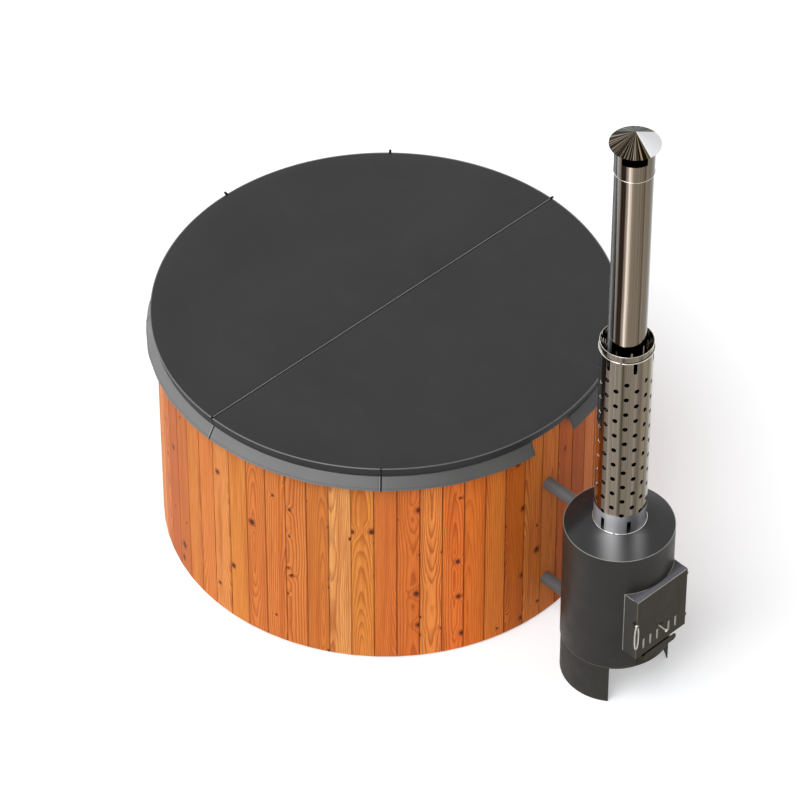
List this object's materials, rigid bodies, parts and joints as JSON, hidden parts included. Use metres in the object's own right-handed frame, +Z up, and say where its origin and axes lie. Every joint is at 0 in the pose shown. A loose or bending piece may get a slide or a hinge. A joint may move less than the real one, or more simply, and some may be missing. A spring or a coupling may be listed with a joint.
{
  "type": "wood-fired hot tub",
  "caption": "Round stave-walled hot tub with a moulded liner, a folding padded cover and an outside wood stove with a perforated flue shield and rain cap.",
  "frame": {"origin": "centre of the tub on the ground, on the underside of the middle ground bearer", "axes": "+Z up, +X from the tub's centre to the stove's centre and out of the fire door, +Y to the right of someone who stands at the tub and looks at the stove's back, along the cover's fold"},
  "size_m": [2.5554, 1.8766, 2.717],
  "materials": {
    "stave_wood": "oiled knotty softwood boards",
    "treated_timber": "pressure treated sawn timber",
    "liner_shell": "smooth light grey moulded shell",
    "foam": "closed-cell foam",
    "black_plastic": "satin moulded plastic",
    "pipe_plastic": "dark grey satin pipe",
    "valve_brass": "plain machined",
    "polished_steel": "mirror polished stainless sheet",
    "lever_paint": "dipped plastic coat",
    "black_paint": "matt heat-resistant paint",
    "casing_paint": "satin heat-resistant paint",
    "lid_paint": "semi-gloss heat-resistant paint",
    "jacket_steel": "welded steel plate",
    "cast_iron": "rough cast",
    "door_paint": "satin olive-black paint",
    "gasket_rope": "woven rope",
    "damper_steel": "plain stainless",
    "handle_steel": "polished rod",
    "leatherette": "dark grey embossed leatherette",
    "lining_film": "smooth vapour film",
    "skirt_vinyl": "grey leatherette",
    "piping_vinyl": "grey welt cord cover"
  },
  "bodies": {
    "tub_and_stove": {"ground_bearers": "treated_timber", "floor_deck": "treated_timber", "floor_foam": "foam", "stave_rings": "treated_timber", "wall_insulation": "foam", "wall_staves": "stave_wood", "pipe_stave": "stave_wood", "liner": "liner_shell", "hot_fitting": "black_plastic", "cold_fitting": "black_plastic", "fitting_nuts": "black_plastic", "inlet_cap": "black_plastic", "suction_cap": "black_plastic", "hot_pipe": "pipe_plastic", "cold_pipe": "pipe_plastic", "drain_grate": "black_plastic", "drain_pipe": "pipe_plastic", "drain_valve": "valve_brass", "drain_outlet": "valve_brass", "stove_base": "black_paint", "support_ring": "black_paint", "stove_casing": "casing_paint", "stove_lid": "lid_paint", "water_jacket": "jacket_steel", "fire_grate": "cast_iron", "door_collar": "casing_paint", "door_hinge_pins": "casing_paint", "flue_pipe": "polished_steel", "shield_spacers": "polished_steel", "heat_shield": "polished_steel", "shield_rings": "polished_steel"},
    "stove_half_cover": {"stove_side_jacket": "leatherette", "stove_side_core": "foam", "stove_side_lining": "lining_film", "stove_side_skirt": "skirt_vinyl", "stove_side_piping": "piping_vinyl", "fold_piping": "piping_vinyl"},
    "far_half_cover": {"far_side_jacket": "leatherette", "far_side_core": "foam", "far_side_lining": "lining_film", "far_side_skirt": "skirt_vinyl", "far_side_piping": "piping_vinyl"},
    "rain_cap": {"cap_sleeve": "polished_steel", "cap_cone": "polished_steel"},
    "fire_door": {"door_pan": "door_paint", "door_barrels": "door_paint", "door_liner": "cast_iron", "door_gasket": "gasket_rope", "damper_rails": "door_paint", "handle_stud": "door_paint"},
    "damper": {"damper_slide": "damper_steel", "damper_knob": "damper_steel"},
    "handle": {"door_handle": "handle_steel"},
    "ash_drawer": {"ash_tray": "jacket_steel", "ash_front": "door_paint"},
    "drain_tap": {"drain_ball": "polished_steel", "drain_lever": "lever_paint"}
  },
  "joints": [
    {"name": "cover_lift", "type": "slide", "parent": "tub_and_stove", "child": "stove_half_cover", "axis": [0, 0, 1], "range_m": [0, 0.12]},
    {"name": "cover_fold", "type": "hinge", "parent": "stove_half_cover", "child": "far_half_cover", "pos_m": [0, 0, 1.0485], "axis": [0, 1, 0], "range_deg": [0, 175]},
    {"name": "cap_lift", "type": "slide", "parent": "tub_and_stove", "child": "rain_cap", "axis": [0, 0, 1], "range_m": [0, 0.09]},
    {"name": "fire_door_swing", "type": "hinge", "parent": "tub_and_stove", "child": "fire_door", "pos_m": [1.5103, 0.1435, 0.446], "axis": [0, 0, 1], "range_deg": [0, 115]},
    {"name": "handle_swing", "type": "hinge", "parent": "fire_door", "child": "handle", "pos_m": [1.5285, -0.143, 0.482], "axis": [1, 0, 0], "range_deg": [-90, 90]},
    {"name": "damper_slide", "type": "slide", "parent": "fire_door", "child": "damper", "axis": [0, 1, 0], "range_m": [0, 0.01875]},
    {"name": "ash_slide", "type": "slide", "parent": "tub_and_stove", "child": "ash_drawer", "axis": [1, 0, 0], "range_m": [0, 0.25]},
    {"name": "drain_turn", "type": "hinge", "parent": "tub_and_stove", "child": "drain_tap", "pos_m": [-0.93741, 0.15, 0.026], "axis": [0, 0, 1], "range_deg": [0, 90]}
  ]
}
